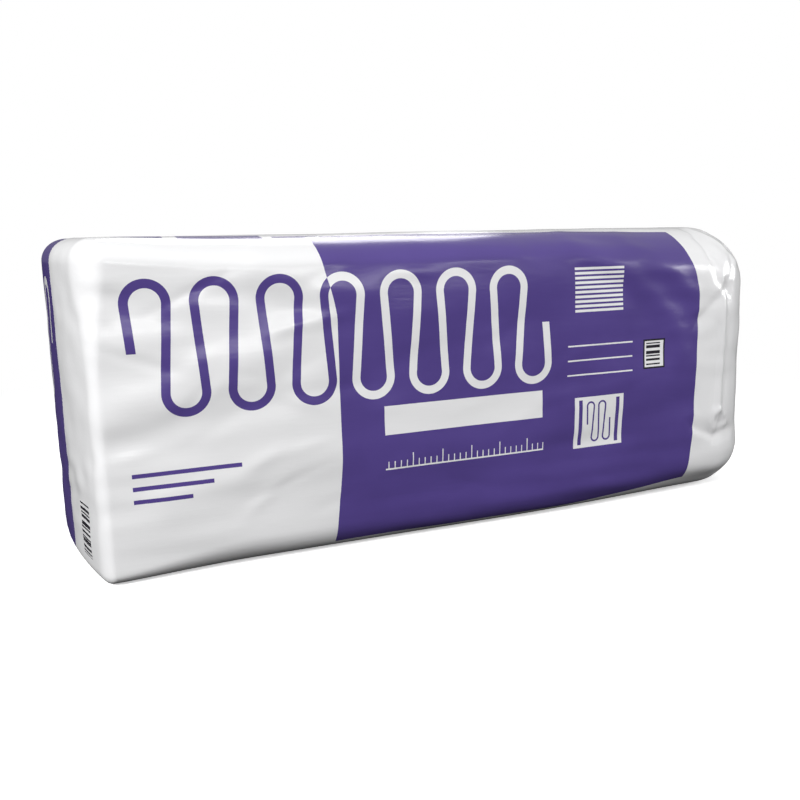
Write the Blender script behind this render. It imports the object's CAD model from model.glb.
"""Looks for a bag of insulation batts: the printed film with its folds, the batts inside, and the stage."""

import math

import bmesh
import bpy
import numpy as np
from mathutils import Matrix, Vector
from mathutils.bvhtree import BVHTree


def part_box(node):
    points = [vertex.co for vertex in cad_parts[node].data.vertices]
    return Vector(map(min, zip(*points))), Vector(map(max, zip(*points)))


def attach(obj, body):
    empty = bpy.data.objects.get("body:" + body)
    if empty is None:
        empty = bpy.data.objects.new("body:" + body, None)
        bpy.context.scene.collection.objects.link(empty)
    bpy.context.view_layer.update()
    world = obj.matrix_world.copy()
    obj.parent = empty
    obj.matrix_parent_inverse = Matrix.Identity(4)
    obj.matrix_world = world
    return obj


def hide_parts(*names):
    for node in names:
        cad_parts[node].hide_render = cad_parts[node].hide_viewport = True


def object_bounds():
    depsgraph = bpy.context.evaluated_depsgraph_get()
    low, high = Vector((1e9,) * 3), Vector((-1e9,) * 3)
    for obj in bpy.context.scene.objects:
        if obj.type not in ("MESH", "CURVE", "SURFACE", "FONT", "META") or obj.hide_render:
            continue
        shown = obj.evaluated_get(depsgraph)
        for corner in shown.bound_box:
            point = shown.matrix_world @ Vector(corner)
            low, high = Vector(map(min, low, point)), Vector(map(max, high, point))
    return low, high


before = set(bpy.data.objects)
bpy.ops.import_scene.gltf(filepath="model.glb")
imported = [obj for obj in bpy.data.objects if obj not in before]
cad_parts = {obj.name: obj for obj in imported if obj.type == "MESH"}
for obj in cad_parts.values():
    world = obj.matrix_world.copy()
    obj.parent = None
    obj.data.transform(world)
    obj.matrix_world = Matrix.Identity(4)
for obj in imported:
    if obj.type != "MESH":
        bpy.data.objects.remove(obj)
cad_low, cad_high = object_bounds()

bl_info = {
    "name": "Bag of insulation batts",
    "version": (1, 0, 0),
    "blender": (4, 5, 0),
    "location": "3D View > Sidebar > Batt bag",
    "description": "Builds the printed film, the folded end and the batts of a bag of insulation batts",
    "category": "Object",
}

WHITE = "#FFFFFF"

# Thickness of the folded plies over the sealed end, and room between the film and the batts, in metres
FLAP_PLY = 0.0022
BATT_ROOM = 0.008

# Size of the cells that the batts are cut into, and how close points are merged, in metres
BATT_CELL = 0.035
MERGE_DISTANCE = 1e-6

# Rounding of the film's long edges, in metres: at the smooth end, what it gains along the bag, and the part
# of the cap's rounding that the sealed end doesn't add. The rows are the upper edges along Z, and the lower
# ones along Y and Z.
EDGE_ROUNDING = ((0.034, 0.012, 0.046), (0.024, 0.018, 0.066), (0.016, 0.028, 0.064))

# Rounding of the upper edges along Y: at the smooth end, gained along the bag, and gained at the sealed end
TOP_START, TOP_GAIN, TOP_CAP_GAIN = 0.052, 0.058, 0.006

# Rounding of the smooth end's corners, and what it gains towards the top, in metres
CORNER_RADIUS, CORNER_TOP_GAIN = 0.017, 0.022

# How far along X the bow of the smooth end is felt, in metres
BOW_REACH = 0.30

# Shares of the slack that the soft waves and the finer pull waves take
SOFT_SHARE, PULL_SHARE = 0.45, 0.22

# Height of the sealed end's crumples and of the lap seam on the back, in metres, and how hollow the
# slopes of a crease are
CRUMPLE_HEIGHT = 0.0003
LAP_HEIGHT = 0.0012
CREASE_POWER = 1.25

# How the back repeats the front's soft folds and creases, in metres: a shift along X, and twice the height
# that it mirrors them at
BACK_FOLDS = (0.03, 0.47)
BACK_CREASES = (-0.006, 0.462)

# Rows and columns of a flap's grid, the columns of its loose edges, and how far the flaps and the fin lap
FLAP_ROWS, FLAP_COLUMNS, LOOSE_COLUMNS = 60, 72, 8
FLAP_LAP, FIN_LAP = 0.004, 0.006

# How far a flap stands off the film, and how deep its root is sunk to join it, in metres
FLAP_RISE, ROOT_SINK = 0.0024, 0.0009

# Ruffles of a flap's edges: height in metres, and waves in radians for each metre. Least and added lift
# of those edges in metres, with its waves in the same way.
RUFFLES = ((0.0012, 42), (0.0009, 97))
EDGE_LIFT, EDGE_LIFT_GAIN, EDGE_WAVES = 0.0008, 0.0010, 60

# Rows and columns of the fin's grid, its clearance from the flaps and the height of its curl, in metres
FIN_ROWS, FIN_COLUMNS = 12, 50
FIN_CLEARANCE, FIN_CURL = 0.0002, 0.0016

# Ribs of the heat seal: length and middle as shares of the fin's width, radius as a share of their step
RIB_LENGTH, RIB_MIDDLE, RIB_RADIUS = 0.6, 0.36, 0.3

# Soft folds of the long sides, as X and Z in metres, with their height and half width
SOFT_FOLDS = (
    (((-0.53, 0.242), (-0.43, 0.268), (-0.32, 0.302)), 0.0034, 0.026),
    (((-0.53, 0.196), (-0.42, 0.222), (-0.30, 0.240)), -0.0030, 0.022),
    (((-0.50, 0.372), (-0.40, 0.352), (-0.27, 0.372)), -0.0028, 0.034),
    (((-0.46, 0.118), (-0.34, 0.140), (-0.20, 0.150)), 0.0026, 0.030),
    (((-0.32, 0.425), (-0.25, 0.395), (-0.16, 0.388)), 0.0030, 0.024),
    (((0.20, 0.442), (0.30, 0.386), (0.385, 0.318), (0.41, 0.262)), 0.0030, 0.022),
    (((0.12, 0.436), (0.24, 0.402), (0.33, 0.345)), -0.0026, 0.020),
    (((0.31, 0.442), (0.38, 0.398), (0.43, 0.352)), 0.0018, 0.018),
    (((-0.14, 0.150), (0.02, 0.126), (0.20, 0.150)), 0.0026, 0.034),
    (((0.16, 0.118), (0.30, 0.142), (0.43, 0.172)), -0.0026, 0.026),
)

# Creases of the sealed end on the front, as X and Z in metres, with the height of each crease and the
# reach of its slopes to its left and right. A negative height is a valley.
FRONT_CREASES = (
    (((0.4970, 0.362), (0.4995, 0.293), (0.4997, 0.223), (0.4976, 0.148)), 0.0042, 0.046, 0.008),
    (((0.4690, 0.450), (0.4720, 0.422), (0.4800, 0.378), (0.4970, 0.361)), -0.0030, 0.010, 0.026),
    (((0.4970, 0.361), (0.4700, 0.337), (0.4430, 0.313)), -0.0026, 0.014, 0.030),
    (((0.4740, 0.420), (0.4840, 0.409), (0.4880, 0.398)), -0.0022, 0.007, 0.007),
    (((0.4976, 0.150), (0.4860, 0.143), (0.4830, 0.126), (0.4910, 0.110)), 0.0021, 0.008, 0.009),
    (((0.4976, 0.150), (0.5110, 0.139), (0.5190, 0.118)), 0.0022, 0.006, 0.008),
    (((0.4910, 0.132), (0.5020, 0.124), (0.5150, 0.128)), -0.0014, 0.008, 0.008),
    (((0.4400, 0.124), (0.4830, 0.104), (0.5300, 0.112)), -0.0030, 0.012, 0.024),
    (((0.4880, 0.462), (0.5150, 0.440), (0.5360, 0.408)), 0.0014, 0.009, 0.011),
    (((0.5060, 0.458), (0.5320, 0.436), (0.5500, 0.398)), -0.0013, 0.009, 0.011),
    (((0.4970, 0.361), (0.5160, 0.392), (0.5280, 0.432)), -0.0016, 0.012, 0.016),
    (((0.4860, 0.300), (0.4860, 0.230), (0.4830, 0.160)), -0.0016, 0.022, 0.010),
)

# Where the smooth end's print stops along X, and along Z where the top's starts and the sides' lower part
# ends, in metres
END_LIMIT = -0.535
TOP_LIMIT = 0.45
LOW_LIMIT = 0.2

# Bow of the panels' upright edges, in metres: heights at which it starts and ends, and its depth there
PANEL_BOWS = ((0.34, 0.46, 0.022), (0.15, 0.0, 0.010))

# Looped hatches in two sizes: length of a pair of loops, half height and stroke, in metres
LARGE_HATCH = (0.0905, 0.094, 0.0125)
SMALL_HATCH = (0.023, 0.035, 0.003)

# Where each hatch starts, in metres across and up its face, and how many pairs of loops it has
FRONT_LOOPS = ((-0.498, 0.322), 7)
TOP_LOOPS = ((-0.498, 0.0), 10)
END_LOOPS = ((-0.085, 0.322), 3)
SECTION_LOOPS = ((0.2165, 0.155), 2)

# Code labels, as left, right, lower and upper edge in millimetres: on the sides along X and Z, and on the
# smooth end along Y and Z
SIDE_LABEL = (330.5, 369.5, 238, 282)
END_LABEL = (-238, -186, 22, 105)

# Bare margins round a label's bars and beside them, in millimetres. The rim is as wide as the first.
LABEL_MARGIN, LABEL_STRIP = 3, 7

# Bars of the labels, as two rows of stripes stacked along Z, with their pitch and width in metres
CODE_STRIPES = ((0.0071, 0.0025), (0.0113, 0.0036))

# Plain printed bars on the sides, in the same way along X and Z. The last one is a label's light ground.
PRINTED_BARS = (
    (-144, 130, 172, 216),
    (177, 305, 282, 284.5),
    (177, 305, 258, 260.5),
    (177, 305, 234, 236.5),
    (-144, 131.6, 118, 120.5),
    (-509, -360, 150, 156),
    (-509, -400, 132, 138),
    (-509, -430, 114, 120),
    (191, 288, 112, 198),
    SIDE_LABEL,
)

# Bars cut out of the printed ones, in the same way: the posts of a wall section
CUT_BARS = ((199, 206, 117, 193), (273, 280, 117, 193))

# Plain bars on the top, in the same way along X and Y
TOP_BARS = ((-508, -440, -243, -180), (-420, -300, -240, -205), (-285, -215, -236, -222))

# The stack of stripes: its edges in millimetres, and the pitch and width of its stripes in metres
STACK_BOX = (190, 284, 337.5, 409)
STACK_STRIPES = (0.0075, 0.0042)

# The tick scale: its left, right and lower edge in millimetres, the width of a tick in metres, and the pitch
# of its ticks in metres with their upper ends in millimetres
SCALE_EDGES = (-142, 131.6, 118)
TICK_WIDTH = 0.0016
TICKS = ((0.01, 131), (0.05, 141))

# Half the floor's width and its drop under the bag, in metres, so that the two never share a plane
FLOOR_HALF = 30
FLOOR_DROP = 0.0006

# Soft lights: name, place, aim, width and height in metres, and watts
LAMPS = (
    ("key", (-2.9, -2.0, 2.1), (-0.1, -0.1, 0.25), 1.5, 1.2, 165),
    ("strip", (0.6, -3.4, 0.9), (0.0, -0.2, 0.25), 2.4, 0.25, 13),
    ("right", (3.0, -1.5, 1.1), (0.5, -0.1, 0.25), 1.4, 1.2, 62),
    ("rear", (0.8, 2.6, 2.4), (0.0, 0.2, 0.25), 2.0, 1.2, 34),
)
AMBIENT = 0.26
FLOOR_GLOW = 0.45

# Width of the camera's sensor in millimetres, and how far it sees in metres
SENSOR_WIDTH = 36
VIEW_REACH = 200


def linear(hex_colour):
    """The linear colour, with full alpha, of an sRGB hex value."""
    shares = [int(hex_colour[i : i + 2], 16) / 255 for i in (1, 3, 5)]
    return [c / 12.92 if c <= 0.04045 else ((c + 0.055) / 1.055) ** 2.4 for c in shares] + [1.0]


class BagShape(bpy.types.PropertyGroup):
    """Sizes of the film's form."""

    cell: bpy.props.FloatProperty(
        name="Cell", description="Size of the film mesh's cells", default=0.0053, unit="LENGTH"
    )
    end_bow: bpy.props.FloatProperty(
        name="End bow",
        description="How far the smooth end swells between its corners",
        default=0.042,
        unit="LENGTH",
    )
    cap_radius: bpy.props.FloatProperty(
        name="Cap rounding", description="Rounding of the sealed end", default=0.096, unit="LENGTH"
    )
    side_bulge: bpy.props.FloatProperty(
        name="Side bulge", description="How far the long sides swell", default=0.005, unit="LENGTH"
    )
    slack: bpy.props.FloatProperty(
        name="Slack", description="Height of the soft waves in the film", default=0.0022, unit="LENGTH"
    )
    pull_lines: bpy.props.IntProperty(
        name="Pull lines", description="Fine pull lines on each long side", default=64
    )
    seed: bpy.props.IntProperty(name="Seed", description="Seed of the film's waves", default=7)


class BagPrint(bpy.types.PropertyGroup):
    """Colours of the film and its print, and where the coloured panels lie."""

    film: bpy.props.FloatVectorProperty(
        name="Film", description="White of the film", subtype="COLOR", size=4, default=linear("#E2E2E3")
    )
    panel: bpy.props.FloatVectorProperty(
        name="Panel", description="Ink of the panels", subtype="COLOR", size=4, default=linear("#514284")
    )
    dark: bpy.props.FloatVectorProperty(
        name="Dark ink", description="Ink of code bars", subtype="COLOR", size=4, default=linear("#2B2A30")
    )
    panel_start: bpy.props.FloatProperty(
        name="Panel start", description="Where the side panels start along X", default=-0.212, unit="LENGTH"
    )
    panel_end: bpy.props.FloatProperty(
        name="Panel end", description="Where the side panels end along X", default=0.443, unit="LENGTH"
    )
    top_edge: bpy.props.FloatProperty(
        name="Top edge",
        description="Distance from the middle at which the side panels end on top",
        default=0.228,
        unit="LENGTH",
    )
    low_edge: bpy.props.FloatProperty(
        name="Low edge",
        description="Distance from the middle at which the side panels end below",
        default=0.280,
        unit="LENGTH",
    )
    end_panel_start: bpy.props.FloatProperty(
        name="End panel start",
        description="Where the smooth end's panel starts along Y",
        default=-0.130,
        unit="LENGTH",
    )


class BagClosure(bpy.types.PropertyGroup):
    """Sizes of the sealed end's flaps and fin."""

    root_place: bpy.props.FloatProperty(
        name="Root",
        description="How far to each side the flaps leave the film",
        default=0.256,
        unit="LENGTH",
    )
    root_height: bpy.props.FloatProperty(
        name="Root height", description="Height of a flap at the bag's side", default=0.372, unit="LENGTH"
    )
    tip_height: bpy.props.FloatProperty(
        name="Tip height", description="Height of a flap at the fin", default=0.196, unit="LENGTH"
    )
    fin_width: bpy.props.FloatProperty(
        name="Fin width", description="Width of the heat-sealed fin", default=0.034, unit="LENGTH"
    )
    sheet: bpy.props.FloatProperty(
        name="Flap sheet", description="Thickness of a flap's film", default=0.0005, unit="LENGTH"
    )
    fin_sheet: bpy.props.FloatProperty(
        name="Fin sheet", description="Thickness of the fin", default=0.0008, unit="LENGTH"
    )
    rib_step: bpy.props.FloatProperty(
        name="Rib step",
        description="Distance between the ribs of the heat seal",
        default=0.0035,
        unit="LENGTH",
    )
    seed: bpy.props.IntProperty(name="Seed", description="Seed of the flaps' loose edges", default=11)


class BagWool(bpy.types.PropertyGroup):
    """Colour of the batts."""

    wool: bpy.props.FloatVectorProperty(
        name="Wool",
        description="Colour of the glass wool",
        subtype="COLOR",
        size=4,
        default=linear("#DCCB8C"),
    )


class BagStage(bpy.types.PropertyGroup):
    """Place, turn and focal length of the camera."""

    focal_length: bpy.props.FloatProperty(
        name="Focal length", description="Focal length on a 36 mm sensor", default=38.93
    )
    yaw: bpy.props.FloatProperty(
        name="Yaw",
        description="Turn of the view from +Y to +X",
        default=math.radians(22.60),
        subtype="ANGLE",
    )
    pitch: bpy.props.FloatProperty(
        name="Pitch", description="Downward tilt of the view", default=math.radians(10.62), subtype="ANGLE"
    )
    roll: bpy.props.FloatProperty(
        name="Roll", description="Roll of the camera", default=math.radians(-1.20), subtype="ANGLE"
    )
    camera_place: bpy.props.FloatVectorProperty(
        name="Camera",
        description="Where the camera stands",
        default=(-0.6065, -1.4705, 0.4614),
        unit="LENGTH",
    )


def add_node(tree, kind, inputs=(), **settings):
    """A new node with its settings, and its inputs set to values or linked to sockets, by place or name."""
    made = tree.nodes.new(kind)
    for name, value in settings.items():
        setattr(made, name, value)
    for place, value in inputs.items() if isinstance(inputs, dict) else enumerate(inputs):
        if isinstance(value, bpy.types.NodeSocket):
            tree.links.new(value, made.inputs[place])
        elif value is not None:
            made.inputs[place].default_value = value
    return made


def new_material(name):
    """A new material with its node tree and its shader."""
    material = bpy.data.materials.new(name)
    material.use_nodes = True
    return material, material.node_tree, material.node_tree.nodes["Principled BSDF"]


def linked(piece):
    """The object, put into the scene."""
    bpy.context.scene.collection.objects.link(piece)
    return piece


def step(low, high, value):
    """A smooth rise from 0 at low to 1 at high."""
    share = np.clip((value - low) / (high - low), 0, 1)
    return share * share * (3 - 2 * share)


def axis_places(low, high, cell, low_margin, high_margin, gain):
    """Places along one axis, up to 1 + gain times closer together within a margin of each end."""
    count = int(round((high - low) / cell))
    places = np.linspace(low, high, 4001)
    near = np.minimum((places - low) / low_margin, (high - places) / high_margin)
    density = 1 + gain * (1 - step(0.4, 1, near))
    travel = np.concatenate([[0], np.cumsum((density[1:] + density[:-1]) / 2)])
    return np.interp(np.linspace(0, travel[-1], count + 1), travel, places)


def grid_quads(number):
    """The quads of a grid of numbered points."""
    corners = [number[:-1, :-1], number[1:, :-1], number[1:, 1:], number[:-1, 1:]]
    return np.stack(corners, -1).reshape(-1, 4)


def box_grid(xs, ys, zs):
    """Points and outward quads of a closed box whose six sides are grids of those places."""
    number = np.full((len(xs), len(ys), len(zs)), -1)
    skin = np.ones(number.shape, bool)
    skin[1:-1, 1:-1, 1:-1] = False
    number[skin] = np.arange(skin.sum())
    i, j, k = np.nonzero(skin)
    quads = []
    for axis in range(3):
        for side in (0, -1):
            quad = grid_quads(np.take(number, side, axis))
            faces_out = (side == -1) == (axis != 1)
            quads.append(quad if faces_out else quad[:, ::-1])
    return np.stack([xs[i], ys[j], zs[k]], 1), np.concatenate(quads)


def rounded(points, low, high, cap_radius):
    """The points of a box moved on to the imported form.

    It is sharp at the smooth end and well rounded at the sealed one.
    """
    along = (points[:, 0] - low[0]) / (high[0] - low[0])
    level = (points[:, 2] - low[2]) / (high[2] - low[2])
    swell, cap = step(0.0, 0.22, along), step(0.55, 1.0, along)
    top, bottom = step(0.6, 0.97, level), 1 - step(0.03, 0.4, level)
    top_z, bottom_y, bottom_z = (
        start + gain * swell + (cap_radius - short) * cap for start, gain, short in EDGE_ROUNDING
    )
    top_y = TOP_START + TOP_GAIN * swell + TOP_CAP_GAIN * cap
    side_y = CORNER_RADIUS + (cap_radius - CORNER_RADIUS) * cap
    radius = np.empty_like(points)
    radius[:, 0] = np.where(along < 0.5, CORNER_RADIUS + CORNER_TOP_GAIN * top, cap_radius)
    radius[:, 1] = side_y + (top_y - side_y) * top + (bottom_y - side_y) * bottom
    radius[:, 2] = np.where(level > 0.5, top_z, bottom_z)
    inner = np.clip(points, low + radius, high - radius)
    reach = (points - inner) / radius
    return inner + radius * reach / np.linalg.norm(reach, axis=1)[:, None]


def swollen(points, low, high, shape):
    """The form with its smooth end bowed and its long sides puffed out a little."""
    made = points.copy()
    across = points[:, 1] / high[1]
    left = np.clip((points[:, 0] - low[0]) / BOW_REACH, 0, 1)
    made[:, 0] += shape.end_bow * across**2 * (1 - left) ** 2
    along = 2 * (points[:, 0] - low[0]) / (high[0] - low[0]) - 1
    level = 2 * (points[:, 2] - low[2]) / (high[2] - low[2]) - 1
    puff = shape.side_bulge * np.clip(1 - along**2, 0, 1) * np.clip(1 - level**2, 0, 1)
    made[:, 1] += puff * step(0.75, 1.0, np.abs(across)) * np.sign(across)
    return made


def outward(points, quads):
    """Unit normals of the points."""
    a, b, c, d = (points[quads[:, n]] for n in range(4))
    flat = np.cross(c - a, d - b)
    normals = np.zeros_like(points)
    for n in range(4):
        for axis in range(3):
            normals[:, axis] += np.bincount(quads[:, n], flat[:, axis], len(points))
    return normals / np.linalg.norm(normals, axis=1)[:, None]


def waves(points, rng, count, shortest, longest, stretch):
    """A soft random field of about unit height, from waves whose lengths stretch scales along each axis."""
    field = np.zeros(len(points))
    for _ in range(count):
        way = rng.normal(size=3)
        way /= np.linalg.norm(way)
        length = shortest * (longest / shortest) ** rng.random()
        phase = rng.random() * 2 * math.pi
        field += np.sin(points @ (way / np.asarray(stretch)) * (2 * math.pi / length) + phase)
    return field * math.sqrt(2 / count)


def line_distance(across, up, line):
    """How far each point lies from a line in the plane, and its side: above 0 is to the line's right."""
    nearest = np.full(len(across), np.inf)
    side = np.zeros(len(across))
    for (x0, z0), (x1, z1) in zip(line[:-1], line[1:]):
        run = np.array([x1 - x0, z1 - z0])
        share = np.clip(((across - x0) * run[0] + (up - z0) * run[1]) / (run @ run), 0, 1)
        dx, dz = across - x0 - share * run[0], up - z0 - share * run[1]
        far = np.hypot(dx, dz)
        nearer = far < nearest
        nearest = np.where(nearer, far, nearest)
        turn = np.sign(run[1]) or 1.0
        side = np.where(nearer, (dx * run[1] - dz * run[0]) * turn, side)
    return nearest, side


def crease(across, up, line, left_reach, right_reach):
    """The height of a tent over a line, with its own reach to each side, and rounded at its ends."""
    far, side = line_distance(across, up, line)
    reach = np.where(side > 0, right_reach, left_reach)
    return np.clip(1 - far / reach, 0, 1) ** CREASE_POWER


def soft_fold(across, up, line, half_width):
    """The height of a rounded fold along a line in the plane."""
    far, _ = line_distance(across, up, line)
    return np.exp(-((far / half_width) ** 2))


def on_side(line, side, back):
    """A line of the front as it lies on that side: the back has it shifted along X and turned over."""
    shift, turn_height = back
    return line if side < 0 else [(x + shift, turn_height - z) for x, z in line]


def folds(points, normals, shape):
    """How far each point of the film moves outwards.

    Slack waves, soft folds, pull lines, the creases of the sealed end and the lap seam on the back.
    """
    rng = np.random.default_rng(shape.seed)
    x, y, z = points.T
    upright = np.abs(normals[:, 1])
    soft = waves(points, rng, count=30, shortest=0.10, longest=0.26, stretch=(2.2, 1.0, 0.8))
    height = SOFT_SHARE * shape.slack * soft * (0.35 + 0.65 * upright)
    pull = waves(points, rng, count=26, shortest=0.030, longest=0.075, stretch=(5.0, 1.2, 1.0))
    patches = waves(points, rng, count=16, shortest=0.20, longest=0.45, stretch=(1.4, 1.0, 1.0))
    strength = 0.25 + 0.75 * step(0.30, 0.9, patches * 0.5 + 0.5)
    height += PULL_SHARE * shape.slack * pull * strength
    near_cap = step(0.36, 0.58, x)
    crumple = waves(points, rng, count=40, shortest=0.022, longest=0.060, stretch=(1.0, 1.0, 1.5))
    height += CRUMPLE_HEIGHT * crumple * near_cap
    for side in (-1, 1):
        here = step(0.10, 0.24, side * y)
        for line, tall, half_width in SOFT_FOLDS:
            height += tall * here * soft_fold(x, z, on_side(line, side, BACK_FOLDS), half_width)
        # Fine pull lines, stronger near the smooth end, where the film is white
        for _ in range(shape.pull_lines):
            middle_x, middle_z = rng.uniform(-0.54, 0.44), rng.uniform(0.05, 0.44)
            turn, half_length = rng.normal(0.14, 0.32), rng.uniform(0.035, 0.11)
            spread = rng.uniform(0.006, 0.013)
            tall = rng.choice([1.0, -0.7]) * rng.uniform(0.0005, 0.0013)
            tall *= 1.5 if middle_x < -0.2 else 0.75
            run = (x - middle_x) * math.cos(turn) + (z - middle_z) * math.sin(turn)
            far = (z - middle_z) * math.cos(turn) - (x - middle_x) * math.sin(turn)
            ends = np.clip(1 - (run / half_length) ** 2, 0, 1) ** 2
            height += tall * here * np.exp(-((far / spread) ** 2)) * ends
        for line, tall, left_reach, right_reach in FRONT_CREASES:
            line = on_side(line, side, BACK_CREASES)
            height += tall * here * crease(x, z, line, left_reach, right_reach)
    lap = step(0.226, 0.232, z) * (1 - step(0.262, 0.268, z)) * step(0.2, 0.26, y) * (1 - near_cap)
    return (height + LAP_HEIGHT * lap) * (0.1 + 0.9 * step(0.0, 0.02, z))


def mesh_piece(name, points, faces, material):
    """A new smooth mesh object of those points and faces, at the origin."""
    mesh = bpy.data.meshes.new(name)
    mesh.from_pydata(points.tolist(), [], faces.tolist())
    mesh.polygons.foreach_set("use_smooth", np.ones(len(mesh.polygons), bool))
    mesh.materials.append(material)
    mesh.update()
    return linked(bpy.data.objects.new(name, mesh))


def film_points():
    """The film's points and quads, folds included."""
    shape = bpy.context.scene.bag_shape
    low, high = (np.array(corner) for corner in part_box("film_bag"))
    high[0] -= FLAP_PLY
    points, quads = box_grid(
        axis_places(low[0], high[0], shape.cell, low_margin=0.09, high_margin=0.20, gain=1.5),
        axis_places(low[1], high[1], 1.6 * shape.cell, low_margin=0.13, high_margin=0.13, gain=0.8),
        axis_places(low[2], high[2], 0.82 * shape.cell, low_margin=0.10, high_margin=0.10, gain=0.3),
    )
    points = swollen(rounded(points, low, high, shape.cap_radius), low, high, shape)
    normals = outward(points, quads)
    points = points + normals * folds(points, normals, shape)[:, None]
    points[:, 2] = np.maximum(points[:, 2], low[2])
    return points, quads


def union(tree, masks):
    """A mask that is 1 where any of the masks is."""
    whole = masks[0]
    for mask in masks[1:]:
        whole = add_node(tree, "ShaderNodeMath", [whole, mask], operation="MAXIMUM").outputs[0]
    return whole


def overlap(tree, masks):
    """A mask that is 1 where all of the masks are."""
    whole = masks[0]
    for mask in masks[1:]:
        whole = add_node(tree, "ShaderNodeMath", [whole, mask], operation="MULTIPLY").outputs[0]
    return whole


def mark(tree, across, up, box):
    """A mask that is 1 inside a printed rectangle: its left, right, lower and upper edge in millimetres."""
    left, right, lower, upper = (edge / 1000 for edge in box)
    insides = []
    for along, start, end in ((across, left, right), (up, lower, upper)):
        far = add_node(tree, "ShaderNodeMath", [along, (start + end) / 2], operation="SUBTRACT").outputs[0]
        far = add_node(tree, "ShaderNodeMath", [far], operation="ABSOLUTE").outputs[0]
        inside = add_node(tree, "ShaderNodeMath", [far, (end - start) / 2], operation="LESS_THAN")
        insides.append(inside.outputs[0])
    return overlap(tree, insides)


def stripes(tree, along, pitch, width):
    """A mask of equal stripes across an axis, with their pitch and width in metres."""
    place = add_node(tree, "ShaderNodeMath", [along, pitch, 0.0], operation="WRAP").outputs[0]
    return add_node(tree, "ShaderNodeMath", [place, width], operation="LESS_THAN").outputs[0]


def loop_hatch(tree, across, up, start, count, period, half_height, stroke):
    """A mask of the looped line that drawings use for soft insulation, from its start, in metres.

    Loops at the top and the bottom take turns. Each is a round bend on two straight legs that lean
    towards each other, and the legs of neighbours meet on the middle line.
    """
    bend = 0.30 * period
    bend_up = half_height - bend - stroke / 2
    foot = period / 4
    span = math.hypot(foot, bend_up)
    lean = math.atan2(-foot, bend_up) + math.asin(bend / span)
    leg_x, leg_z = math.cos(lean), -math.sin(lean)
    turn_up = bend_up - bend * math.sin(lean)
    strokes = []
    for flip, first in ((1, start[0] + period / 4), (-1, start[0] + 3 * period / 4)):
        offset = add_node(tree, "ShaderNodeMath", [across, first], operation="SUBTRACT").outputs[0]
        wrapped = add_node(tree, "ShaderNodeMath", [offset, period / 2, -period / 2], operation="WRAP")
        offset = add_node(tree, "ShaderNodeMath", [wrapped.outputs[0]], operation="ABSOLUTE").outputs[0]
        rise = add_node(tree, "ShaderNodeMath", [up, start[1]], operation="SUBTRACT").outputs[0]
        rise = add_node(tree, "ShaderNodeMath", [rise, flip], operation="MULTIPLY").outputs[0]
        above = add_node(tree, "ShaderNodeMath", [rise, bend_up], operation="SUBTRACT").outputs[0]
        spoke = add_node(tree, "ShaderNodeCombineXYZ", [offset, above]).outputs[0]
        length = add_node(tree, "ShaderNodeVectorMath", [spoke], operation="LENGTH").outputs["Value"]
        ring = add_node(tree, "ShaderNodeMath", [length, bend], operation="SUBTRACT").outputs[0]
        from_foot = add_node(tree, "ShaderNodeMath", [offset, foot], operation="SUBTRACT").outputs[0]
        leg = add_node(tree, "ShaderNodeCombineXYZ", [from_foot, rise]).outputs[0]
        leg = add_node(
            tree, "ShaderNodeVectorMath", [leg, (leg_x, leg_z, 0.0)], operation="DOT_PRODUCT"
        ).outputs["Value"]
        on_bend = add_node(tree, "ShaderNodeMath", [rise, turn_up], operation="GREATER_THAN").outputs[0]
        far = add_node(tree, "ShaderNodeMix", {0: on_bend, 2: leg, 3: ring}).outputs[0]
        far = add_node(tree, "ShaderNodeMath", [far], operation="ABSOLUTE").outputs[0]
        inked = add_node(tree, "ShaderNodeMath", [far, stroke / 2], operation="LESS_THAN").outputs[0]
        # Each kind of loop has its half of the band, from a little past the middle line
        left, middle, tall = 1000 * (first - period / 2), 1000 * start[1], 1000 * flip * half_height
        lower, upper = sorted((middle - 4 * flip, middle + 1.1 * tall))
        half = mark(tree, across, up, (left, left + 1000 * count * period, lower, upper))
        strokes.append(overlap(tree, [inked, half]))
    return union(tree, strokes)


def panels(tree, x, y, z, on_end):
    """A mask of the coloured panels: one on each long side, and one on the far part of the smooth end.

    The upright edges of the side panels bow where the film is drawn round the bag's long edges.
    """
    look = bpy.context.scene.bag_print
    bowed = x
    for flat, drawn, bow in PANEL_BOWS:
        pull = add_node(
            tree,
            "ShaderNodeMapRange",
            {"Value": z, "From Min": flat, "From Max": drawn, "To Max": bow},
            interpolation_type="SMOOTHSTEP",
        ).outputs[0]
        bowed = add_node(tree, "ShaderNodeMath", [bowed, pull], operation="ADD").outputs[0]
    after = add_node(tree, "ShaderNodeMath", [bowed, look.panel_start], operation="GREATER_THAN").outputs[0]
    before = add_node(tree, "ShaderNodeMath", [bowed, look.panel_end], operation="LESS_THAN").outputs[0]
    out = add_node(tree, "ShaderNodeMath", [y], operation="ABSOLUTE").outputs[0]
    low_part = add_node(tree, "ShaderNodeMath", [z, LOW_LIMIT], operation="LESS_THAN").outputs[0]
    edge = add_node(tree, "ShaderNodeMix", {0: low_part, 2: look.top_edge, 3: look.low_edge}).outputs[0]
    outside = add_node(tree, "ShaderNodeMath", [out, edge], operation="GREATER_THAN").outputs[0]
    far = add_node(tree, "ShaderNodeMath", [y, look.end_panel_start], operation="GREATER_THAN").outputs[0]
    return union(tree, [overlap(tree, [after, before, outside]), overlap(tree, [on_end, far])])


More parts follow.
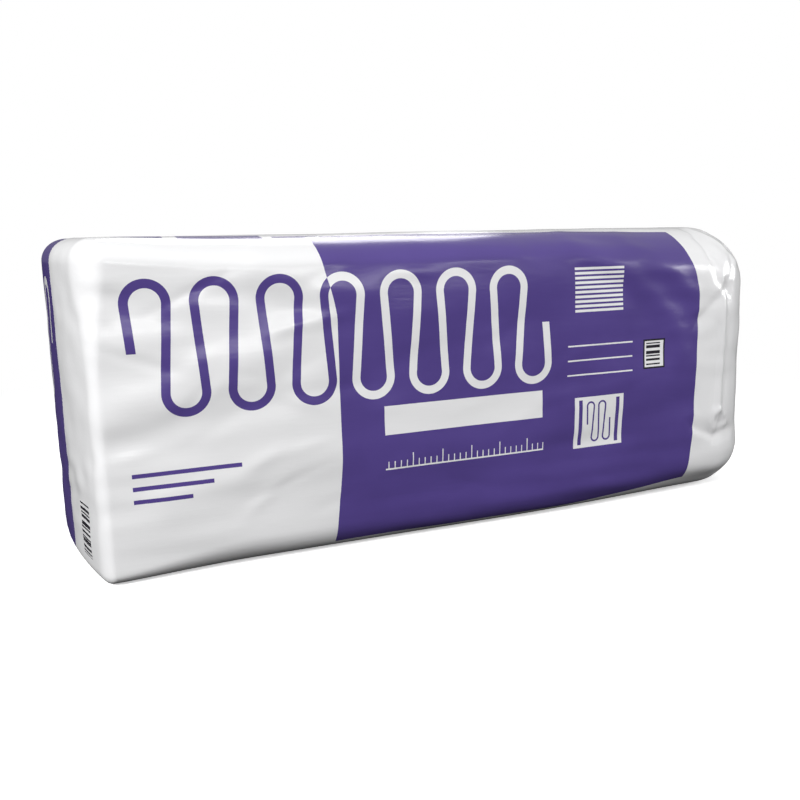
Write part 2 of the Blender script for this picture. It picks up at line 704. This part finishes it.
def plain_marks(tree, x, y, z, on_end):
    """A mask of the marks that change colour: ink on the film, and bare film in a panel."""
    on_top = add_node(tree, "ShaderNodeMath", [z, TOP_LIMIT], operation="GREATER_THAN").outputs[0]
    top_marks = [loop_hatch(tree, x, y, *TOP_LOOPS, *LARGE_HATCH)]
    top_marks += [mark(tree, x, y, box) for box in TOP_BARS]
    inked = [
        loop_hatch(tree, x, z, *FRONT_LOOPS, *LARGE_HATCH),
        overlap(tree, [union(tree, top_marks), on_top]),
        overlap(tree, [loop_hatch(tree, y, z, *END_LOOPS, *LARGE_HATCH), on_end]),
        overlap(tree, [stripes(tree, z, *STACK_STRIPES), mark(tree, x, z, STACK_BOX)]),
    ]
    inked += [mark(tree, x, z, box) for box in PRINTED_BARS]
    for pitch, upper in TICKS:
        ticks, scale = stripes(tree, x, pitch, TICK_WIDTH), mark(tree, x, z, (*SCALE_EDGES, upper))
        inked.append(overlap(tree, [ticks, scale]))
    cut = [loop_hatch(tree, x, z, *SECTION_LOOPS, *SMALL_HATCH)]
    cut += [mark(tree, x, z, box) for box in CUT_BARS]
    masks = [union(tree, inked), union(tree, cut)]
    return add_node(tree, "ShaderNodeMath", masks, operation="SUBTRACT").outputs[0]


def code_marks(tree, x, y, z, on_end):
    """A mask of the code labels' rim and bars, which stand for no number."""
    bars = union(tree, [stripes(tree, z, pitch, width) for pitch, width in CODE_STRIPES])
    off_end = add_node(tree, "ShaderNodeMath", [1.0, on_end], operation="SUBTRACT").outputs[0]
    darks = []
    for across, here, (left, right, lower, upper) in ((x, off_end, SIDE_LABEL), (y, on_end, END_LABEL)):
        barred = (left + LABEL_MARGIN, right - LABEL_STRIP, lower + LABEL_MARGIN, upper - LABEL_MARGIN)
        darks.append(overlap(tree, [bars, mark(tree, across, z, barred), here]))
    left, right, lower, upper = SIDE_LABEL
    rim = (left - LABEL_MARGIN, right + LABEL_MARGIN, lower - LABEL_MARGIN, upper + LABEL_MARGIN)
    masks = [mark(tree, x, z, rim), mark(tree, x, z, SIDE_LABEL)]
    darks.append(add_node(tree, "ShaderNodeMath", masks, operation="SUBTRACT").outputs[0])
    return union(tree, darks)


def printed_film():
    """Printed polyethylene film, blown and satin.

    Opaque white film with flexo-printed panels. It gives broad soft highlights, and fine stretch marks
    along the bag that break them up.
    """
    look = bpy.context.scene.bag_print
    material, tree, shader = new_material("printed polyethylene film")
    place = add_node(tree, "ShaderNodeTexCoord").outputs["Object"]
    x, y, z = add_node(tree, "ShaderNodeSeparateXYZ", [place]).outputs
    on_end = add_node(tree, "ShaderNodeMath", [x, END_LIMIT], operation="LESS_THAN").outputs[0]
    masks = [panels(tree, x, y, z, on_end), plain_marks(tree, x, y, z, on_end)]
    swapped = add_node(tree, "ShaderNodeMath", masks, operation="SUBTRACT").outputs[0]
    swapped = add_node(tree, "ShaderNodeMath", [swapped], operation="ABSOLUTE").outputs[0]
    dark = code_marks(tree, x, y, z, on_end)

    # Clouds of about 110 mm, over which the ink's density and the film's gloss vary a little
    cloud = add_node(tree, "ShaderNodeTexNoise", {"Vector": place, "Scale": 9.0, "Detail": 4.0}).outputs[0]
    clouds = {"Value": cloud, "From Min": 0.3, "From Max": 0.7}
    density = add_node(tree, "ShaderNodeMapRange", {**clouds, "To Min": 0.94, "To Max": 1.06}).outputs[0]
    tone = add_node(tree, "ShaderNodeCombineColor", [density, density, density]).outputs[0]
    ink = add_node(
        tree, "ShaderNodeMix", {0: 1.0, 6: look.panel, 7: tone}, data_type="RGBA", blend_type="MULTIPLY"
    ).outputs[2]
    base = add_node(tree, "ShaderNodeMix", {0: swapped, 6: look.film, 7: ink}, data_type="RGBA").outputs[2]
    coded = add_node(tree, "ShaderNodeMix", {0: dark, 6: base, 7: look.dark}, data_type="RGBA").outputs[2]
    tree.links.new(coded, shader.inputs["Base Color"])

    # Stretch marks of about 5 by 30 mm, and a fine skin of about 1.5 mm
    drawn = add_node(tree, "ShaderNodeMapping", {"Vector": place, "Scale": (33.0, 120.0, 200.0)}).outputs[0]
    marks = add_node(tree, "ShaderNodeTexNoise", {"Vector": drawn, "Scale": 1.0, "Detail": 3.0}).outputs[0]
    skin = add_node(tree, "ShaderNodeTexNoise", {"Vector": place, "Scale": 650.0, "Detail": 2.0}).outputs[0]
    coarse = add_node(
        tree, "ShaderNodeBump", {"Strength": 0.25, "Distance": 0.0006, "Height": marks}
    ).outputs[0]
    fine = add_node(
        tree, "ShaderNodeBump", {"Strength": 0.12, "Distance": 0.0002, "Height": skin, "Normal": coarse}
    ).outputs[0]
    tree.links.new(fine, shader.inputs["Normal"])
    gloss = add_node(tree, "ShaderNodeMapRange", {**clouds, "To Min": 0.19, "To Max": 0.24}).outputs[0]
    tree.links.new(gloss, shader.inputs["Roughness"])
    shader.inputs["IOR"].default_value = 1.51
    return material


def glass_wool():
    """Glass wool, spun and pressed.

    Matt straw-coloured fibre. Long fibres lie flat, so its cut edges look layered and its faces cloudy.
    """
    material, tree, shader = new_material("glass wool")
    place = add_node(tree, "ShaderNodeTexCoord").outputs["Object"]
    # Fibre clumps of about 12 by 12 by 2 mm
    layered = add_node(tree, "ShaderNodeMapping", {"Vector": place, "Scale": (80.0, 80.0, 500.0)}).outputs[0]
    clumps = add_node(tree, "ShaderNodeTexNoise", {"Vector": layered, "Scale": 1.0, "Detail": 6.0}).outputs[0]
    ramp = add_node(tree, "ShaderNodeValToRGB", [clumps])
    wool = bpy.context.scene.bag_wool.wool
    shaded, lit = ramp.color_ramp.elements
    shaded.position, lit.position = 0.25, 0.75
    shaded.color = [0.62 * c for c in wool[:3]] + [1.0]
    lit.color = wool
    tree.links.new(ramp.outputs[0], shader.inputs["Base Color"])
    relief = add_node(
        tree, "ShaderNodeBump", {"Strength": 0.8, "Distance": 0.002, "Height": clumps}
    ).outputs[0]
    tree.links.new(relief, shader.inputs["Normal"])
    shader.inputs["Roughness"].default_value = 0.95
    shader.inputs["Sheen Weight"].default_value = 0.25
    return material


class BAG_OT_film(bpy.types.Operator):
    """Builds the printed film with its folds"""

    bl_idname = "bag.film"
    bl_label = "Printed film"

    def execute(self, context):
        points, quads = film_points()
        film = mesh_piece("printed_film", points, quads, printed_film())
        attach(film, "root")
        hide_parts("film_bag")
        return {"FINISHED"}


def film_tree():
    """The film's surface, to lay other pieces on and to keep the batts in."""
    film = bpy.data.objects["printed_film"].data
    return BVHTree.FromPolygons([v.co for v in film.vertices], [f.vertices for f in film.polygons])


def thin_solid(under, over):
    """Points and faces of a closed sheet from the grids of its two sides, rows by columns, that face +X."""
    rows, columns = under.shape[:2]
    number = np.arange(rows * columns).reshape(rows, columns)
    quad = grid_quads(number)
    rim = np.concatenate([number[0, :-1], number[:-1, -1], number[-1, :0:-1], number[:0:-1, 0]])
    after = np.roll(rim, -1)
    top = rows * columns
    wall = np.stack([rim, after, after + top, rim + top], -1)
    points = np.concatenate([under.reshape(-1, 3), over.reshape(-1, 3)])
    return points, np.concatenate([quad[:, ::-1], quad + top, wall[:, ::-1]])


def laid_flap(side, film, rng):
    """The two sides of one flap: a trapezoid of film over the sealed end, from its root to the fin."""
    closure = bpy.context.scene.bag_closure
    across = np.linspace(closure.root_place, -FLAP_LAP, FLAP_ROWS)
    share = 1 - across / cad_high[1]
    middle = (cad_low[2] + cad_high[2]) / 2
    under, over = np.empty((2, FLAP_ROWS, FLAP_COLUMNS, 3))
    wobble = rng.random(3) * 6
    for i, y in enumerate(across):
        half = (closure.root_height + (closure.tip_height - closure.root_height) * share[i]) / 2
        ruffle = sum(tall * math.sin(rate * y + start) for (tall, rate), start in zip(RUFFLES, wobble))
        rise = FLAP_RISE * step(0.0, 0.03, closure.root_place - y) - ROOT_SINK
        wave = 0.5 + 0.5 * math.sin(EDGE_WAVES * y + wobble[2])
        loose = EDGE_LIFT + EDGE_LIFT_GAIN * wave * share[i]
        for j, v in enumerate(np.linspace(-1, 1, FLAP_COLUMNS)):
            z = middle + v * (half + ruffle)
            place, normal, _, _ = film.ray_cast(Vector((0.8, side * y, z)), Vector((-1, 0, 0)))
            lift = rise + step(0.86, 1.0, abs(v)) * loose
            under[i, j] = place + normal * lift
            over[i, j] = place + normal * (lift + closure.sheet)
    return (under, over) if side < 0 else (under[::-1], over[::-1])


def crimp_tree(material):
    """The rule for a heat seal's ribs: level bars, one above another at equal steps."""
    tree = bpy.data.node_groups.new("crimp ribs", "GeometryNodeTree")
    kinds = {"Ribs": "Int", "Step": "Float", "Length": "Float", "Radius": "Float", "Start": "Vector"}
    for name, kind in kinds.items():
        tree.interface.new_socket(name, in_out="INPUT", socket_type="NodeSocket" + kind)
    tree.interface.new_socket("Geometry", in_out="OUTPUT", socket_type="NodeSocketGeometry")
    given = add_node(tree, "NodeGroupInput").outputs
    rise = add_node(tree, "ShaderNodeCombineXYZ", {"Z": given["Step"]}).outputs[0]
    line = add_node(
        tree,
        "GeometryNodeMeshLine",
        {"Count": given["Ribs"], "Start Location": given["Start"], "Offset": rise},
    ).outputs[0]
    bar = add_node(
        tree,
        "GeometryNodeMeshCylinder",
        {"Vertices": 8, "Radius": given["Radius"], "Depth": given["Length"]},
    ).outputs[0]
    flat = add_node(
        tree,
        "GeometryNodeTransform",
        {"Geometry": bar, "Rotation": (math.pi / 2, 0, 0), "Scale": (0.7, 1, 1)},
    ).outputs[0]
    ribs = add_node(tree, "GeometryNodeInstanceOnPoints", {"Points": line, "Instance": flat}).outputs[0]
    plain = add_node(tree, "GeometryNodeRealizeInstances", [ribs]).outputs[0]
    made = add_node(tree, "GeometryNodeSetMaterial", {"Geometry": plain, "Material": material}).outputs[0]
    add_node(tree, "NodeGroupOutput", [made])
    return tree


class BAG_OT_closure(bpy.types.Operator):
    """Builds the sealed end's two flaps and its fin with the ribs of the heat seal"""

    bl_idname = "bag.closure"
    bl_label = "Closure"

    def execute(self, context):
        closure = context.scene.bag_closure
        film, material = film_tree(), bpy.data.materials["printed polyethylene film"]
        rng = np.random.default_rng(closure.seed)
        highest = 0
        for name, side in (("front_flap", -1), ("back_flap", 1)):
            under, over = laid_flap(side, film, rng)
            highest = max(highest, over[:, LOOSE_COLUMNS:-LOOSE_COLUMNS, 0].max())
            flap = mesh_piece(name, *thin_solid(under, over), material)
            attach(flap, "root")
        middle = (cad_low[2] + cad_high[2]) / 2
        ys = np.linspace(-FIN_LAP, closure.fin_width, FIN_ROWS)
        zs = np.linspace(middle - closure.tip_height / 2, middle + closure.tip_height / 2, FIN_COLUMNS)
        y, z = np.meshgrid(ys, zs, indexing="ij")
        curl = FIN_CURL * (y / closure.fin_width).clip(0, 1) ** 2 * (1 + 0.4 * np.sin(31 * z))
        under = np.stack([highest + FIN_CLEARANCE + curl, y, z], -1)
        fin = mesh_piece("fin", *thin_solid(under, under + [closure.fin_sheet, 0, 0]), material)
        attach(fin, "root")

        maker = linked(bpy.data.objects.new("crimp", bpy.data.meshes.new("crimp")))
        rule = maker.modifiers.new("ribs", "NODES")
        rule.node_group = crimp_tree(material)
        face = highest + FIN_CLEARANCE + closure.fin_sheet
        count = int(closure.tip_height / closure.rib_step)
        values = {
            "Ribs": count,
            "Step": closure.rib_step,
            "Length": RIB_LENGTH * closure.fin_width,
            "Radius": RIB_RADIUS * closure.rib_step,
            "Start": (face, RIB_MIDDLE * closure.fin_width, middle - closure.rib_step * (count - 1) / 2),
        }
        for item in rule.node_group.interface.items_tree:
            if item.name in values:
                rule[item.identifier] = values[item.name]
        mesh = bpy.data.meshes.new_from_object(maker.evaluated_get(context.evaluated_depsgraph_get()))
        bpy.data.objects.remove(maker)
        ribs = linked(bpy.data.objects.new("seal_ribs", mesh))
        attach(ribs, "root")
        return {"FINISHED"}


def squeezed_batt(node, film):
    """A copy of a batt's mesh, cut finer and pressed in wherever the film would touch it."""
    form = bmesh.new()
    form.from_mesh(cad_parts[node].data)
    bmesh.ops.remove_doubles(form, verts=form.verts, dist=MERGE_DISTANCE)
    low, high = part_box(node)
    for axis in (0, 1):
        count = int((high[axis] - low[axis]) / BATT_CELL)
        for n in range(1, count):
            place, way = Vector(low), Vector((0, 0, 0))
            place[axis] += (high[axis] - low[axis]) * n / count
            way[axis] = 1
            whole = form.verts[:] + form.edges[:] + form.faces[:]
            bmesh.ops.bisect_plane(form, geom=whole, plane_co=place, plane_no=way)
    for vert in form.verts:
        near, normal, _, _ = film.find_nearest(vert.co)
        if (vert.co - near).dot(normal) > -BATT_ROOM:
            vert.co = near - BATT_ROOM * normal
    bmesh.ops.dissolve_degenerate(form, dist=MERGE_DISTANCE, edges=form.edges[:])
    mesh = bpy.data.meshes.new("squeezed_" + node)
    form.to_mesh(mesh)
    form.free()
    return mesh


class BAG_OT_batts(bpy.types.Operator):
    """Builds the batts, squeezed into the room that the film leaves"""

    bl_idname = "bag.batts"
    bl_label = "Batts"

    def execute(self, context):
        wool = glass_wool()
        room = film_tree()
        for node in sorted(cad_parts):
            if node.startswith("batt_"):
                mesh = squeezed_batt(node, room)
                mesh.materials.append(wool)
                batt = linked(bpy.data.objects.new(mesh.name, mesh))
                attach(batt, "root")
                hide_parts(node)
        return {"FINISHED"}


def studio_floor():
    """Pale floor. It looks white to the camera, and throws little light back up."""
    material, tree, shader = new_material("pale studio floor")
    tree.nodes.remove(shader)
    path = add_node(tree, "ShaderNodeLightPath").outputs
    seen = union(tree, [path["Is Camera Ray"], path["Is Transmission Ray"]])
    pale = add_node(tree, "ShaderNodeBsdfDiffuse", [linear(WHITE)]).outputs[0]
    glow = add_node(tree, "ShaderNodeEmission", [linear(WHITE), FLOOR_GLOW]).outputs[0]
    lit = add_node(tree, "ShaderNodeAddShader", [pale, glow]).outputs[0]
    plain = add_node(tree, "ShaderNodeEmission", [linear(WHITE), 1.0]).outputs[0]
    place = add_node(tree, "ShaderNodeTexCoord").outputs["Object"]
    away = add_node(tree, "ShaderNodeVectorMath", [place], operation="LENGTH").outputs["Value"]
    fade = add_node(
        tree,
        "ShaderNodeMapRange",
        {"Value": away, "From Min": 0.8, "From Max": 1.7},
        interpolation_type="SMOOTHSTEP",
    ).outputs[0]
    white = add_node(tree, "ShaderNodeMixShader", [fade, lit, plain]).outputs[0]
    dull = add_node(tree, "ShaderNodeBsdfDiffuse", [linear("#2E2E2E")]).outputs[0]
    mixed = add_node(tree, "ShaderNodeMixShader", [seen, dull, white]).outputs[0]
    tree.links.new(mixed, tree.nodes["Material Output"].inputs[0])
    return material


def white_world():
    """Soft ambient light, with a plain white background for the camera.

    Reflections see part of that white overhead, and less of it towards the floor.
    """
    world = bpy.data.worlds.new("studio")
    world.use_nodes = True
    tree = world.node_tree
    tree.nodes.clear()
    path = add_node(tree, "ShaderNodeLightPath").outputs
    seen = union(tree, [path["Is Camera Ray"], path["Is Transmission Ray"]])
    way = add_node(tree, "ShaderNodeTexCoord").outputs["Generated"]
    rise = add_node(tree, "ShaderNodeSeparateXYZ", [way]).outputs["Z"]
    sky = add_node(
        tree,
        "ShaderNodeMapRange",
        {"Value": rise, "From Min": 0.1, "From Max": 0.5, "To Min": 0.1, "To Max": 0.5},
    ).outputs[0]
    ambient, mirrored, white = (
        add_node(tree, "ShaderNodeBackground", [linear(WHITE), strength]).outputs[0]
        for strength in (AMBIENT, sky, 1.0)
    )
    lit = add_node(tree, "ShaderNodeMixShader", [path["Is Glossy Ray"], ambient, mirrored]).outputs[0]
    mixed = add_node(tree, "ShaderNodeMixShader", [seen, lit, white]).outputs[0]
    add_node(tree, "ShaderNodeOutputWorld", [mixed])
    bpy.context.scene.world = world


def soft_box(name, place, aim, width, height, watts):
    """A rectangular soft light at place that faces aim."""
    light = bpy.data.lights.new(name, "AREA")
    light.shape = "RECTANGLE"
    light.size, light.size_y, light.energy = width, height, watts
    lamp = linked(bpy.data.objects.new(name, light))
    lamp.location = place
    lamp.rotation_euler = (Vector(aim) - Vector(place)).to_track_quat("-Z", "Y").to_euler()


class BAG_OT_stage(bpy.types.Operator):
    """Sets the floor, the lights and the camera"""

    bl_idname = "bag.stage"
    bl_label = "Stage"

    def execute(self, context):
        scene, look = context.scene, context.scene.bag_stage
        scene.view_settings.view_transform = "Standard"
        mesh = bpy.data.meshes.new("floor")
        corners = [(-1, -1), (1, -1), (1, 1), (-1, 1)]
        points = [(FLOOR_HALF * x, FLOOR_HALF * y, -FLOOR_DROP) for x, y in corners]
        mesh.from_pydata(points, [], [(0, 1, 2, 3)])
        mesh.materials.append(studio_floor())
        floor = linked(bpy.data.objects.new("floor", mesh))
        white_world()
        for lamp in LAMPS:
            soft_box(*lamp)

        yaw, pitch, roll = look.yaw, look.pitch, look.roll
        ahead = math.cos(pitch)
        forward = Vector((math.sin(yaw) * ahead, math.cos(yaw) * ahead, -math.sin(pitch)))
        level = Vector((math.cos(yaw), -math.sin(yaw), 0))
        rise = level.cross(forward)
        right = math.cos(roll) * level + math.sin(roll) * rise
        up = math.cos(roll) * rise - math.sin(roll) * level
        turn = Matrix((right, up, -forward)).transposed().to_4x4()
        lens = bpy.data.cameras.new("camera")
        lens.sensor_width, lens.lens, lens.clip_end = SENSOR_WIDTH, look.focal_length, VIEW_REACH
        camera = linked(bpy.data.objects.new("camera", lens))
        camera.matrix_world = Matrix.Translation(look.camera_place) @ turn
        scene.camera = camera
        return {"FINISHED"}


class BAG_PT_panel(bpy.types.Panel):
    """The bag's operators and settings"""

    bl_idname = "BAG_PT_panel"
    bl_label = "Batt bag"
    bl_space_type = "VIEW_3D"
    bl_region_type = "UI"
    bl_category = "Batt bag"

    def draw(self, context):
        for operator in OPERATORS:
            self.layout.operator(operator.bl_idname)
        for name in GROUPS:
            group = getattr(context.scene, name)
            for setting in group.__annotations__:
                self.layout.prop(group, setting)


GROUPS = {
    "bag_shape": BagShape,
    "bag_print": BagPrint,
    "bag_closure": BagClosure,
    "bag_wool": BagWool,
    "bag_stage": BagStage,
}
OPERATORS = (BAG_OT_stage, BAG_OT_film, BAG_OT_closure, BAG_OT_batts)


def register():
    """Adds the settings, operators and panel."""
    for name, group in GROUPS.items():
        bpy.utils.register_class(group)
        setattr(bpy.types.Scene, name, bpy.props.PointerProperty(type=group))
    for operator in OPERATORS:
        bpy.utils.register_class(operator)
    bpy.utils.register_class(BAG_PT_panel)


def unregister():
    """Takes them out again."""
    bpy.utils.unregister_class(BAG_PT_panel)
    for operator in reversed(OPERATORS):
        bpy.utils.unregister_class(operator)
    for name, group in GROUPS.items():
        delattr(bpy.types.Scene, name)
        bpy.utils.unregister_class(group)


def main():
    """Builds the stage and the bag."""
    register()
    bpy.ops.bag.stage()
    bpy.ops.bag.film()
    bpy.ops.bag.closure()
    bpy.ops.bag.batts()


if __name__ == "__main__":
    main()
